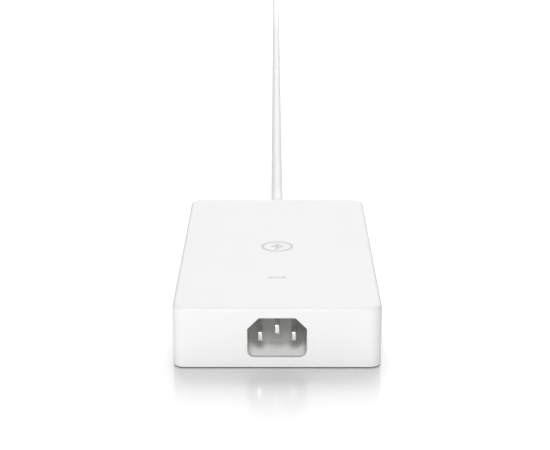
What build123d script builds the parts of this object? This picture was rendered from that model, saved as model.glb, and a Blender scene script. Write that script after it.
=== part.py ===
from build123d import *
import os
from math import pi, radians, tan

os.makedirs("parts", exist_ok=True)

# PoE injector: a flat power unit with a mains inlet in its front end (-Y), and network jacks
# in its rear end (+Y), with a patch cord plugged in. Origin: centre of the footprint, on the
# surface that it stands on. +Z up, millimetres.

# ---------------------------------------------------------------- driving dimensions
WIDTH = 86.4
DEPTH = 158.0
TOP_Z = 26.7
UNDERSIDE_Z = 0.4
CORNER_R = 5.0
LID_FILLET = 1.6
UNDERSIDE_FILLET = 0.3
WALL = 2.0

FRONT_Y = -DEPTH / 2
REAR_Y = DEPTH / 2
CEILING_Z = TOP_Z - WALL

# seam between the two case halves
STRIP_Z = 1.7
SEAM_Z = 2.6
SEAM_INSET = 0.15
SEAM_EASE = 0.15
LIP_TOP_Z = 4.6
LIP_INSET = WALL + 0.2
LIP_T = 1.2

# case screws and the feet that hide them
SCREW_X = 35.5
SCREW_Y = 71.5
POST_R = 3.0
BOSS_R = 3.5
PILOT_R = 1.15
SCREW_R = 1.05
SCREW_HOLE_R = 1.4
SCREW_LEN = 9.0
SCREW_HEAD_R = 2.2
SCREW_HEAD_H = 1.5
SCREW_SEAT_Z = 3.0
FOOT_R = 5.0
FOOT_RECESS = 0.6
FIT = 0.1

# mains inlet, IEC 60320 C14
INLET_W = 24.5
INLET_H = 17.1
INLET_Z = 13.4
INLET_CHAMFER = 4.7
INLET_CORNER_R = 3.0
INLET_CAVITY = 17.5
MOUTH_ROUND = 0.35
INLET_BACK = 4.0
INLET_BODY_W = 28.8
INLET_BODY_Z = (3.2, 23.8)
PIN_PITCH = 14.0
PIN_W = 2.0
PIN_H = 4.0
PIN_RECESS = 3.5
EARTH_LEAD = 2.5
EARTH_RISE = 4.0
POWER_PIN_Z = INLET_Z - 0.6
PIN_TAIL_Y = -56.9
PIN_TAIL_T = 1.6

# circuit board
BOARD_T = 1.6
BOARD_Z = 6.8
BOARD_X = 37.5
BOARD_Y = (-57.2, 75.4)
BOARD_SCREW_X = 34.0
BOARD_SCREW_Y = (-50.0, 60.0)
STANDOFF_R = 2.8
BOARD_HEAD_R = 2.4
BOARD_HEAD_H = 1.4

# network jack and the plug that fits it, 8P8C
JACK_W = 15.9
JACK_H = 13.0
JACK_L = 21.4
JACK_FACE_Y = REAR_Y - 0.1
JACK_SKIN = 0.3
DATA_JACK_X = 22.0
MOUTH_W = 12.0
MOUTH_H = 7.0
KEYWAY_W = 6.4
KEYWAY_H = 2.8
JACK_CAVITY = 13.0
MOUTH_Z = BOARD_Z + 1.8
PLUG_W = 11.7
PLUG_H = 6.6
PLUG_L = 21.5
PLUG_Z = MOUTH_Z + MOUTH_H / 2
PLUG_NOSE_Y = 66.7
CONTACTS = 8
CONTACT_PITCH = 1.02
BOOT_L = 24.0
LATCH_W = 6.0
LATCH_L = 19.0
LATCH_T = 0.9
LATCH_TILT = 7.0
LATCH_ROOT = 1.3
LATCH_ROOT_R = 0.55

# patch cord
CORD_R = 3.0
CORD_FLOOR_Z = 3.05
COIL_X = -42.5
COIL_Y = 969.0
COIL_INNER_R = 30.0
COIL_OUTER_R = 42.0
COIL_H = 6.1
FAR_PLUG_Z = 3.9

# ---------------------------------------------------------------- shared positions
CORNERS = [(sx * SCREW_X, sy * SCREW_Y) for sx in (-1, 1) for sy in (-1, 1)]
BOARD_SCREWS = [(sx * BOARD_SCREW_X, y) for sx in (-1, 1) for y in BOARD_SCREW_Y]
CONTACT_X = [(i - (CONTACTS - 1) / 2) * CONTACT_PITCH for i in range(CONTACTS)]
FRONT_PLANE = Plane.XZ.offset(-FRONT_Y)
REAR_PLANE = Plane.XZ.offset(-REAR_Y)

# outline of the inlet's mouth, earth side up
with BuildSketch(FRONT_PLANE) as inlet_mouth:
    with Locations((0, INLET_Z)):
        Rectangle(INLET_W, INLET_H)
    chamfer(inlet_mouth.vertices().group_by(Axis.Y)[-1], INLET_CHAMFER)
    fillet(inlet_mouth.vertices().group_by(Axis.Y)[0], INLET_CORNER_R)

# ---------------------------------------------------------------- case
with BuildPart() as top_cover:
    with BuildSketch(Plane.XY.offset(SEAM_Z)):
        RectangleRounded(WIDTH, DEPTH, CORNER_R)
    extrude(amount=TOP_Z - SEAM_Z)
    fillet(top_cover.faces().sort_by(Axis.Z)[-1].edges(), LID_FILLET)
    chamfer(top_cover.faces().sort_by(Axis.Z)[0].edges(), SEAM_EASE)
    with BuildSketch(Plane.XY.offset(SEAM_Z)):
        RectangleRounded(WIDTH - 2 * WALL, DEPTH - 2 * WALL, CORNER_R - WALL)
    extrude(amount=CEILING_Z - SEAM_Z, mode=Mode.SUBTRACT)
    # posts that the case screws hold
    with BuildSketch(Plane.XY.offset(LIP_TOP_Z)):
        with Locations(*CORNERS):
            Circle(POST_R)
    extrude(amount=CEILING_Z - LIP_TOP_Z)
    with BuildSketch(Plane.XY.offset(LIP_TOP_Z)):
        with Locations(*CORNERS):
            Circle(PILOT_R)
    extrude(amount=SCREW_LEN, mode=Mode.SUBTRACT)
    # mouth of the mains inlet, with its outer edge rounded over
    extrude(inlet_mouth.sketch, amount=-WALL, mode=Mode.SUBTRACT)
    front_face = top_cover.faces().filter_by(Axis.Y).sort_by(Axis.Y)[0]
    fillet(front_face.inner_wires()[0].edges(), MOUTH_ROUND)
    # windows of the two network jacks
    with BuildSketch(REAR_PLANE):
        with Locations((0, BOARD_Z + JACK_H / 2), (DATA_JACK_X, BOARD_Z + JACK_H / 2)):
            Rectangle(JACK_W + 4 * FIT, JACK_H + 4 * FIT)
    extrude(amount=WALL, mode=Mode.SUBTRACT)
top_cover.part.label = "top_cover"
export_step(top_cover.part, "parts/top_cover.step")

with BuildPart() as base_cover:
    with BuildSketch(Plane.XY.offset(UNDERSIDE_Z)):
        RectangleRounded(WIDTH, DEPTH, CORNER_R)
    extrude(amount=STRIP_Z - UNDERSIDE_Z)
    fillet(base_cover.faces().sort_by(Axis.Z)[0].edges(), UNDERSIDE_FILLET)
    chamfer(base_cover.faces().sort_by(Axis.Z)[-1].edges(), SEAM_EASE)
    # recessed band under the seam
    with BuildSketch(Plane.XY.offset(STRIP_Z)):
        RectangleRounded(WIDTH - 2 * SEAM_INSET, DEPTH - 2 * SEAM_INSET, CORNER_R - SEAM_INSET)
    extrude(amount=SEAM_Z - STRIP_Z)
    # lip that locates the upper shell, open in front of the inlet
    with BuildSketch(Plane.XY.offset(SEAM_Z)):
        RectangleRounded(WIDTH - 2 * LIP_INSET, DEPTH - 2 * LIP_INSET, CORNER_R - LIP_INSET)
        offset(amount=-LIP_T, mode=Mode.SUBTRACT)
        with Locations((0, FRONT_Y + LIP_INSET)):
            Rectangle(INLET_BODY_W + 2, 4 * LIP_T, mode=Mode.SUBTRACT)
    extrude(amount=LIP_TOP_Z - SEAM_Z)
    with BuildSketch(Plane.XY.offset(SEAM_Z)):
        with Locations(*CORNERS):
            Circle(BOSS_R)
    extrude(amount=LIP_TOP_Z - SEAM_Z)
    with BuildSketch(Plane.XY.offset(SEAM_Z)):
        with Locations(*BOARD_SCREWS):
            Circle(STANDOFF_R)
    extrude(amount=BOARD_Z - BOARD_T - SEAM_Z)
    with BuildSketch(Plane.XY.offset(SEAM_Z)):
        with Locations(*BOARD_SCREWS):
            Circle(PILOT_R)
    extrude(amount=BOARD_Z - BOARD_T - SEAM_Z, mode=Mode.SUBTRACT)
    # foot recess, screw head recess and screw hole at each corner
    for radius, low_z, high_z in (
        (FOOT_R + FIT, UNDERSIDE_Z, UNDERSIDE_Z + FOOT_RECESS),
        (SCREW_HEAD_R + FIT, UNDERSIDE_Z, SCREW_SEAT_Z),
        (SCREW_HOLE_R, UNDERSIDE_Z, LIP_TOP_Z),
    ):
        with BuildSketch(Plane.XY.offset(low_z)):
            with Locations(*CORNERS):
                Circle(radius)
        extrude(amount=high_z - low_z, mode=Mode.SUBTRACT)
base_cover.part.label = "base_cover"
export_step(base_cover.part, "parts/base_cover.step")

with BuildPart() as case_screws:
    with BuildSketch(Plane.XY.offset(SCREW_SEAT_Z - SCREW_HEAD_H)):
        with Locations(*CORNERS):
            Circle(SCREW_HEAD_R)
    extrude(amount=SCREW_HEAD_H)
    with BuildSketch(Plane.XY.offset(SCREW_SEAT_Z)):
        with Locations(*CORNERS):
            Circle(SCREW_R)
    extrude(amount=SCREW_LEN)
    # cross recess in each head
    with BuildSketch(Plane.XY.offset(SCREW_SEAT_Z - SCREW_HEAD_H)):
        with Locations(*CORNERS):
            Rectangle(2.4, 0.6)
            Rectangle(0.6, 2.4)
    extrude(amount=SCREW_HEAD_H / 2, mode=Mode.SUBTRACT)
case_screws.part.label = "case_screws"
export_step(case_screws.part, "parts/case_screws.step")

with BuildPart() as rubber_feet:
    with BuildSketch(Plane.XY):
        with Locations(*CORNERS):
            Circle(FOOT_R)
    extrude(amount=UNDERSIDE_Z + FOOT_RECESS)
    fillet(rubber_feet.faces().group_by(Axis.Z)[0].edges(), 0.25)
rubber_feet.part.label = "rubber_feet"
export_step(rubber_feet.part, "parts/rubber_feet.step")

# printed marks on the lid: a plain lightning bolt in a ring, and the direct-current sign
MARK_T = 0.06
EMBLEM_Y = 1.4
EMBLEM_R = 7.4
EMBLEM_RING = 1.3
BOLT_POINTS = [(1.2, 5.0), (-3.6, -0.9), (-0.7, -0.9), (-1.2, -5.0), (3.6, 0.9), (0.7, 0.9)]
with BuildPart() as top_emblem:
    with BuildSketch(Plane.XY.offset(TOP_Z)):
        with Locations((0, EMBLEM_Y)):
            Circle(EMBLEM_R)
            Circle(EMBLEM_R - EMBLEM_RING, mode=Mode.SUBTRACT)
            Polygon(*BOLT_POINTS, align=None)
    extrude(amount=MARK_T)
top_emblem.part.label = "top_emblem"
export_step(top_emblem.part, "parts/top_emblem.step")

SIGN_Y = -41.7
SIGN_W = 7.6
SIGN_LINE = 0.7
SIGN_GAP = 1.3
DASH_W = SIGN_W / 4
with BuildPart() as output_mark:
    with BuildSketch(Plane.XY.offset(TOP_Z)):
        with Locations((0, SIGN_Y + SIGN_GAP / 2)):
            Rectangle(SIGN_W, SIGN_LINE)
        with Locations((0, SIGN_Y - SIGN_GAP / 2)):
            with GridLocations(1.5 * DASH_W, 1, 3, 1):
                Rectangle(DASH_W, SIGN_LINE)
    extrude(amount=MARK_T)
output_mark.part.label = "output_mark"
export_step(output_mark.part, "parts/output_mark.step")

# ---------------------------------------------------------------- mains inlet
INLET_BACK_Y = FRONT_Y + INLET_CAVITY
# pin name: centre across, centre height, setback of its tip from the case's front
PINS = {
    "line_pin": (-PIN_PITCH / 2, POWER_PIN_Z, PIN_RECESS),
    "neutral_pin": (PIN_PITCH / 2, POWER_PIN_Z, PIN_RECESS),
    "earth_pin": (0.0, POWER_PIN_Z + EARTH_RISE, PIN_RECESS - EARTH_LEAD),
}
with BuildPart() as inlet_body:
    with BuildSketch(FRONT_PLANE.offset(-WALL)):
        with Locations((0, sum(INLET_BODY_Z) / 2)):
            Rectangle(INLET_BODY_W, INLET_BODY_Z[1] - INLET_BODY_Z[0])
    extrude(amount=-(INLET_CAVITY + INLET_BACK - WALL))
    fillet(inlet_body.edges().filter_by(Axis.Y), 1.0)
    extrude(inlet_mouth.sketch, amount=-INLET_CAVITY, mode=Mode.SUBTRACT)
    for across, height, _ in PINS.values():
        with BuildSketch(FRONT_PLANE.offset(-INLET_CAVITY)):
            with Locations((across, height)):
                Rectangle(PIN_W + FIT, PIN_H + FIT)
        extrude(amount=-INLET_BACK, mode=Mode.SUBTRACT)
inlet_body.part.label = "inlet_body"
export_step(inlet_body.part, "parts/inlet_body.step")

for pin_name, (across, height, recess) in PINS.items():
    tip_y = FRONT_Y + recess
    with BuildPart() as pin:
        with BuildSketch(Plane.XZ.offset(-tip_y)):
            with Locations((across, height)):
                Rectangle(PIN_W, PIN_H)
        extrude(amount=tip_y - PIN_TAIL_Y - PIN_TAIL_T)
        chamfer(pin.faces().sort_by(Axis.Y)[0].edges(), 0.4)
        with BuildSketch(Plane.XZ.offset(-PIN_TAIL_Y)):
            with Locations((across, (height + BOARD_Z) / 2)):
                Rectangle(PIN_W, height - BOARD_Z)
        extrude(amount=-PIN_TAIL_T)
    pin.part.label = pin_name
    export_step(pin.part, f"parts/{pin_name}.step")

# ---------------------------------------------------------------- board and its fixings
with BuildPart() as main_board:
    with BuildSketch(Plane.XY.offset(BOARD_Z - BOARD_T)):
        with Locations((0, sum(BOARD_Y) / 2)):
            Rectangle(2 * BOARD_X, BOARD_Y[1] - BOARD_Y[0])
        with Locations(*CORNERS):
            Circle(BOSS_R + 0.7, mode=Mode.SUBTRACT)
        with Locations((SCREW_X + 2, SCREW_Y + 2), (-SCREW_X - 2, SCREW_Y + 2)):
            Rectangle(8, 8, mode=Mode.SUBTRACT)
        with Locations(*BOARD_SCREWS):
            Circle(1.5, mode=Mode.SUBTRACT)
    extrude(amount=BOARD_T)
main_board.part.label = "main_board"
export_step(main_board.part, "parts/main_board.step")

with BuildPart() as board_screws:
    with BuildSketch(Plane.XY.offset(BOARD_Z)):
        with Locations(*BOARD_SCREWS):
            Circle(BOARD_HEAD_R)
    extrude(amount=BOARD_HEAD_H)
    with BuildSketch(Plane.XY.offset(SEAM_Z + 0.6)):
        with Locations(*BOARD_SCREWS):
            Circle(SCREW_R)
    extrude(amount=BOARD_Z - SEAM_Z - 0.6)
board_screws.part.label = "board_screws"
export_step(board_screws.part, "parts/board_screws.step")

with BuildPart() as insulation_sheet:
    with BuildSketch(Plane.XY.offset(SEAM_Z)):
        with Locations((0, 9.0)):
            Rectangle(2 * BOARD_X, 130)
        with Locations(*CORNERS, *BOARD_SCREWS):
            Circle(BOSS_R + 0.3, mode=Mode.SUBTRACT)
    extrude(amount=0.4)
insulation_sheet.part.label = "insulation_sheet"
export_step(insulation_sheet.part, "parts/insulation_sheet.step")

with BuildPart() as heat_spreader:
    with BuildSketch(Plane.XY.offset(CEILING_Z - 1.2)):
        RectangleRounded(62, 108, 2)
    extrude(amount=1.2)
heat_spreader.part.label = "heat_spreader"
export_step(heat_spreader.part, "parts/heat_spreader.step")

# ---------------------------------------------------------------- mains filter
LEG = 0.8
FUSE_X, FUSE_Y, FUSE_L, FUSE_R = -24.0, -45.0, 15.0, 2.6
FUSE_AXIS_Z = BOARD_Z + 3.6
with BuildPart() as fuse:
    with BuildSketch(Plane.XZ.offset(-(FUSE_Y - FUSE_L / 2))):
        with Locations((FUSE_X, FUSE_AXIS_Z)):
            Circle(FUSE_R)
    extrude(amount=-FUSE_L)
    # metal end caps with one lead each
    for cap_y in (FUSE_Y - FUSE_L / 2, FUSE_Y + FUSE_L / 2 - 3):
        with BuildSketch(Plane.XZ.offset(-cap_y)):
            with Locations((FUSE_X, FUSE_AXIS_Z)):
                Circle(FUSE_R + 0.25)
        extrude(amount=-3)
        with Locations((FUSE_X, cap_y + 1.5, BOARD_Z)):
            Box(LEG, LEG, FUSE_AXIS_Z - BOARD_Z, align=(Align.CENTER, Align.CENTER, Align.MIN))
fuse.part.label = "fuse"
export_step(fuse.part, "parts/fuse.step")

VARISTOR_X, VARISTOR_Y, VARISTOR_R, VARISTOR_T = -13.0, -49.0, 5.5, 4.2
with BuildPart() as varistor:
    with BuildSketch(Plane.XZ.offset(-(VARISTOR_Y - VARISTOR_T / 2))):
        with Locations((VARISTOR_X, BOARD_Z + VARISTOR_R + 1)):
            Circle(VARISTOR_R)
    extrude(amount=-VARISTOR_T)
    fillet(varistor.edges(), 1.0)
    with Locations((VARISTOR_X - 2.5, VARISTOR_Y, BOARD_Z), (VARISTOR_X + 2.5, VARISTOR_Y, BOARD_Z)):
        Box(LEG, LEG, VARISTOR_R, align=(Align.CENTER, Align.CENTER, Align.MIN))
varistor.part.label = "varistor"
export_step(varistor.part, "parts/varistor.step")

# common-mode choke: ring core under two windings
CHOKE_X, CHOKE_Y = 4.0, -38.5
CHOKE_WIRE = 1.2
CHOKE_CORE_R = (5.0, 9.0)
CHOKE_CORE_H = 8.0
with BuildPart() as choke_core:
    with BuildSketch(Plane.XY.offset(BOARD_Z + CHOKE_WIRE)):
        with Locations((CHOKE_X, CHOKE_Y)):
            Circle(CHOKE_CORE_R[1])
            Circle(CHOKE_CORE_R[0], mode=Mode.SUBTRACT)
    extrude(amount=CHOKE_CORE_H)
choke_core.part.label = "choke_core"
export_step(choke_core.part, "parts/choke_core.step")

with BuildPart() as choke_windings:
    with BuildSketch(Plane.XY.offset(BOARD_Z)):
        with Locations((CHOKE_X, CHOKE_Y)):
            Circle(CHOKE_CORE_R[1] + CHOKE_WIRE)
            Circle(CHOKE_CORE_R[0] - CHOKE_WIRE, mode=Mode.SUBTRACT)
            Rectangle(5, 30, mode=Mode.SUBTRACT)
    extrude(amount=CHOKE_CORE_H + 2 * CHOKE_WIRE)
    add(choke_core.part, mode=Mode.SUBTRACT)
choke_windings.part.label = "choke_windings"
export_step(choke_windings.part, "parts/choke_windings.step")

with BuildPart() as x_capacitor:
    with Locations((26, -39, BOARD_Z)):
        Box(18, 9, 14.5, align=(Align.CENTER, Align.CENTER, Align.MIN))
    fillet(x_capacitor.edges().filter_by(Axis.Z), 0.8)
x_capacitor.part.label = "x_capacitor"
export_step(x_capacitor.part, "parts/x_capacitor.step")

with BuildPart() as y_capacitors:
    for disc_x in (-31.0, -22.0):
        with BuildSketch(Plane.XZ.offset(32.5)):
            with Locations((disc_x, BOARD_Z + 4.6)):
                Circle(3.6)
        extrude(amount=-3)
        with Locations((disc_x - 1.8, -31, BOARD_Z), (disc_x + 1.8, -31, BOARD_Z)):
            Box(LEG, LEG, 4, align=(Align.CENTER, Align.CENTER, Align.MIN))
y_capacitors.part.label = "y_capacitors"
export_step(y_capacitors.part, "parts/y_capacitors.step")

with BuildPart() as bridge_rectifier:
    with Locations((-24, -25, BOARD_Z + 2)):
        Box(18, 3.8, 13.5, align=(Align.CENTER, Align.CENTER, Align.MIN))
    chamfer(bridge_rectifier.edges().filter_by(Axis.Y).sort_by(Axis.Z)[-1], 2)
    with Locations((-24, -25, BOARD_Z)):
        with GridLocations(4.4, 1, 4, 1):
            Box(LEG, LEG, 2, align=(Align.CENTER, Align.CENTER, Align.MIN))
bridge_rectifier.part.label = "bridge_rectifier"
export_step(bridge_rectifier.part, "parts/bridge_rectifier.step")

# ---------------------------------------------------------------- boost stage
BULK_R = 7.8
BULK_L = 34.0
BULK_Y = -20.0
with BuildPart() as bulk_capacitors:
    for can_x in (-28.5, -12.0):
        with BuildSketch(Plane.XZ.offset(-BULK_Y)):
            with Locations((can_x, BOARD_Z + BULK_R)):
                Circle(BULK_R)
        extrude(amount=-BULK_L)
        # crimp groove at the sealed end
        with BuildSketch(Plane.XZ.offset(-(BULK_Y + 3))):
            with Locations((can_x, BOARD_Z + BULK_R)):
                Circle(BULK_R)
                Circle(BULK_R - 0.5, mode=Mode.SUBTRACT)
        extrude(amount=-1, mode=Mode.SUBTRACT)
bulk_capacitors.part.label = "bulk_capacitors"
export_step(bulk_capacitors.part, "parts/bulk_capacitors.step")

# two flat wound cores: name, centre, core size along X and Y, yoke, centre leg, window, height
WIRE_RISE = 2.4
GAP = 0.15
WOUND_CORES = (
    ("boost_choke", 13.0, -10.0, 26.0, 26.0, 4.5, 8.0, 5.0, 10.8),
    ("transformer", -4.0, 31.5, 34.0, 29.0, 5.5, 9.0, 5.5, 10.8),
)
for name, cx, cy, size_x, size_y, yoke, leg, window, core_h in WOUND_CORES:
    low_z = BOARD_Z + WIRE_RISE
    bay_x = size_x - 2 * yoke
    with BuildPart() as core:
        with BuildSketch(Plane.XY.offset(low_z)):
            with Locations((cx, cy)):
                Rectangle(size_x, size_y)
                with GridLocations(1, leg + window, 1, 2):
                    Rectangle(bay_x, window, mode=Mode.SUBTRACT)
        extrude(amount=core_h)
    core.part.label = f"{name}_core"
    export_step(core.part, f"parts/{name}_core.step")
    flange = 1.0 if name == "transformer" else 0.0
    with BuildPart() as winding:
        with Locations((cx, cy, low_z + core_h / 2)):
            Box(bay_x - 2 * (GAP + flange), leg + 2 * window - 2 * GAP, core_h + 2 * WIRE_RISE)
            fillet(winding.edges().filter_by(Axis.X), 1.5)
            Box(size_x, leg + 2 * GAP, core_h + 2 * GAP, mode=Mode.SUBTRACT)
    winding.part.label = f"{name}_winding"
    export_step(winding.part, f"parts/{name}_winding.step")
    if flange:
        # bobbin end cheeks on both sides of the winding
        with BuildPart() as bobbin:
            with Locations((cx, cy, low_z + core_h / 2)):
                Box(bay_x - 2 * GAP, leg + 2 * window - 2 * GAP, core_h + 2 * WIRE_RISE)
                Box(bay_x - 2 * (GAP + flange), size_y, 2 * core_h, mode=Mode.SUBTRACT)
                Box(size_x, leg + 2 * GAP, core_h + 2 * GAP, mode=Mode.SUBTRACT)
        bobbin.part.label = f"{name}_bobbin"
        export_step(bobbin.part, f"parts/{name}_bobbin.step")

# ---------------------------------------------------------------- heatsinks and switches
SINK_T = 1.5
SINK_H = 15.5
CHIP_T = 4.5
CHIP_W = 10.0
CHIP_H = 11.0
# name, switches on it, side of the case, plate's inner face, centre along Y
SINKS = (
    ("primary_heatsink", "primary_switches", 1, 33.5, -10.0),
    ("secondary_heatsink", "output_rectifiers", -1, 33.5, 31.5),
)
for sink_name, switch_name, side, face_x, mid_y in SINKS:
    with BuildPart() as sink:
        with Locations((side * (face_x + SINK_T / 2), mid_y, BOARD_Z)):
            Box(SINK_T, 30, SINK_H, align=(Align.CENTER, Align.CENTER, Align.MIN))
        with Locations((side * (face_x - 1), mid_y, BOARD_Z + SINK_H - SINK_T)):
            Box(4, 30, SINK_T, align=(Align.CENTER, Align.CENTER, Align.MIN))
    sink.part.label = sink_name
    export_step(sink.part, f"parts/{sink_name}.step")
    with BuildPart() as switches:
        with Locations((side * (face_x - CHIP_T / 2), mid_y, BOARD_Z + 2.5)):
            with GridLocations(1, 14, 1, 2):
                Box(CHIP_T, CHIP_W, CHIP_H, align=(Align.CENTER, Align.CENTER, Align.MIN))
        with Locations((side * (face_x - CHIP_T / 2), mid_y, BOARD_Z)):
            with GridLocations(1, 14, 1, 2):
                with GridLocations(1, 2.54, 1, 3):
                    Box(LEG, LEG, 2.5, align=(Align.CENTER, Align.CENTER, Align.MIN))
    switches.part.label = switch_name
    export_step(switches.part, f"parts/{switch_name}.step")

# ---------------------------------------------------------------- control and output
with BuildPart() as control_chip:
    with Locations((20, 10, BOARD_Z)):
        Box(9, 4.5, 1.6, align=(Align.CENTER, Align.CENTER, Align.MIN))
control_chip.part.label = "control_chip"
export_step(control_chip.part, "parts/control_chip.step")

with BuildPart() as optocouplers:
    with Locations((18, 22, BOARD_Z)):
        with GridLocations(1, 8, 1, 2):
            Box(6.4, 4.6, 3.4, align=(Align.CENTER, Align.CENTER, Align.MIN))
optocouplers.part.label = "optocouplers"
export_step(optocouplers.part, "parts/optocouplers.step")

with BuildPart() as output_capacitors:
    with BuildSketch(Plane.XY.offset(BOARD_Z)):
        with Locations((29, 31)):
            with GridLocations(1, 11, 1, 3):
                Circle(5)
    extrude(amount=15.5)
    fillet(output_capacitors.faces().group_by(Axis.Z)[-1].edges(), 0.6)
output_capacitors.part.label = "output_capacitors"
export_step(output_capacitors.part, "parts/output_capacitors.step")

with BuildPart() as output_choke:
    with BuildSketch(Plane.XY.offset(BOARD_Z)):
        with Locations((-22, 56)):
            Circle(7)
            Circle(2.6, mode=Mode.SUBTRACT)
    extrude(amount=7)
    fillet(output_choke.edges(), 1.6)
output_choke.part.label = "output_choke"
export_step(output_choke.part, "parts/output_choke.step")

# ---------------------------------------------------------------- network side
with BuildPart() as poe_controller:
    with Locations((-16, 69, BOARD_Z)):
        Box(7, 7, 1.2, align=(Align.CENTER, Align.CENTER, Align.MIN))
poe_controller.part.label = "poe_controller"
export_step(poe_controller.part, "parts/poe_controller.step")

with BuildPart() as surge_suppressors:
    with Locations((-25, 69, BOARD_Z)):
        with GridLocations(1, 5, 1, 2):
            Box(4.3, 3.6, 2.3, align=(Align.CENTER, Align.CENTER, Align.MIN))
surge_suppressors.part.label = "surge_suppressors"
export_step(surge_suppressors.part, "parts/surge_suppressors.step")

with BuildPart() as line_transformers:
    with Locations((DATA_JACK_X / 2, 52, BOARD_Z)):
        with GridLocations(DATA_JACK_X, 1, 2, 1):
            Box(15, 8, 5.6, align=(Align.CENTER, Align.CENTER, Align.MIN))
line_transformers.part.label = "line_transformers"
export_step(line_transformers.part, "parts/line_transformers.step")

SLOT_DEPTH = 0.9
WIRE_W = 0.4
for jack_name, jack_x in (("poe_jack", 0.0), ("data_jack", DATA_JACK_X)):
    face_plane = Plane.XZ.offset(-JACK_FACE_Y)
    with BuildSketch(face_plane) as mouth:
        with Locations((jack_x, MOUTH_Z)):
            Rectangle(MOUTH_W, MOUTH_H, align=(Align.CENTER, Align.MIN))
        with Locations((jack_x, MOUTH_Z + MOUTH_H)):
            Rectangle(KEYWAY_W, KEYWAY_H, align=(Align.CENTER, Align.MIN))
    with BuildPart() as housing:
        with Locations((jack_x, JACK_FACE_Y - JACK_L / 2, BOARD_Z)):
            Box(
                JACK_W - 2 * JACK_SKIN,
                JACK_L - 2 * JACK_SKIN,
                JACK_H - JACK_SKIN,
                align=(Align.CENTER, Align.CENTER, Align.MIN),
            )
        extrude(mouth.sketch, amount=JACK_CAVITY, mode=Mode.SUBTRACT)
        # comb of slots for the contact wires in the floor of the mouth
        with Locations((jack_x, JACK_FACE_Y - JACK_CAVITY + 0.5, MOUTH_Z - SLOT_DEPTH)):
            with GridLocations(CONTACT_PITCH, 1, CONTACTS, 1):
                Box(
                    WIRE_W + 2 * FIT,
                    JACK_CAVITY - 2,
                    SLOT_DEPTH,
                    align=(Align.CENTER, Align.MIN, Align.MIN),
                    mode=Mode.SUBTRACT,
                )
    housing.part.label = f"{jack_name}_housing"
    export_step(housing.part, f"parts/{jack_name}_housing.step")
    with BuildPart() as shield:
        with Locations((jack_x, JACK_FACE_Y - JACK_L / 2, BOARD_Z)):
            Box(JACK_W, JACK_L, JACK_H, align=(Align.CENTER, Align.CENTER, Align.MIN))
            Box(
                JACK_W - 2 * JACK_SKIN,
                JACK_L - 2 * JACK_SKIN,
                JACK_H - JACK_SKIN,
                align=(Align.CENTER, Align.CENTER, Align.MIN),
                mode=Mode.SUBTRACT,
            )
        extrude(mouth.sketch, amount=JACK_SKIN, mode=Mode.SUBTRACT)
    shield.part.label = f"{jack_name}_shield"
    export_step(shield.part, f"parts/{jack_name}_shield.step")

# contact wires lie flat under the plug in one jack, and stand free in the other
WIRE_Z = MOUTH_Z - SLOT_DEPTH + 0.2
WIRE_FRONT_Y = JACK_FACE_Y - 2.6
WIRE_BACK_Y = JACK_FACE_Y - JACK_CAVITY + 1.0
WIRE_TIP_RISE = {"poe_jack_contacts": 0.2, "data_jack_contacts": 2.7}
for wires_name, jack_x in (("poe_jack_contacts", 0.0), ("data_jack_contacts", DATA_JACK_X)):
    rise = WIRE_TIP_RISE[wires_name]
    with BuildPart() as wires:
        for wire_x in CONTACT_X:
            with BuildSketch(Plane.YZ.offset(jack_x + wire_x - WIRE_W / 2)):
                Polygon(
                    (WIRE_FRONT_Y, WIRE_Z),
                    (WIRE_FRONT_Y, WIRE_Z + WIRE_W),
                    (WIRE_BACK_Y, WIRE_Z + WIRE_W + rise),
                    (WIRE_BACK_Y, WIRE_Z + rise),
                    align=None,
                )
            extrude(amount=WIRE_W)
    wires.part.label = wires_name
    export_step(wires.part, f"parts/{wires_name}.step")

# ---------------------------------------------------------------- patch cord plugs
# Each plug is made about its own nose, pointing along -Y, latch up, then placed. The far
# plug lies beside the coil.
BLADE_T = 0.35
BLADE_L = 6.0
BLADE_H = 2.5
TOP_FACE = PLUG_H / 2
ROOT_Z = TOP_FACE - 0.1
with BuildPart() as plug_blank:
    with Locations((0, PLUG_L / 2, 0)):
        Box(PLUG_W, PLUG_L, PLUG_H)
    chamfer(plug_blank.edges().filter_by(Axis.Z).group_by(Axis.Y)[0], 0.5)
    # comb of contact slots under the nose
    with Locations((0, 0.6, -TOP_FACE)):
        with GridLocations(CONTACT_PITCH, 1, CONTACTS, 1):
            Box(
                BLADE_T,
                BLADE_L,
                BLADE_H,
                align=(Align.CENTER, Align.MIN, Align.MIN),
                mode=Mode.SUBTRACT,
            )
    # round notch that the latch's root turns in
    with BuildSketch(Plane.YZ.offset(-LATCH_W / 2 - FIT)):
        with Locations((LATCH_ROOT, ROOT_Z)):
            Circle(LATCH_ROOT_R + FIT)
    extrude(amount=LATCH_W + 2 * FIT, mode=Mode.SUBTRACT)

with BuildPart() as blade_blank:
    with Locations((0, 0.6, -TOP_FACE)):
        with GridLocations(CONTACT_PITCH, 1, CONTACTS, 1):
            Box(BLADE_T, BLADE_L, BLADE_H, align=(Align.CENTER, Align.MIN, Align.MIN))

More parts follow.
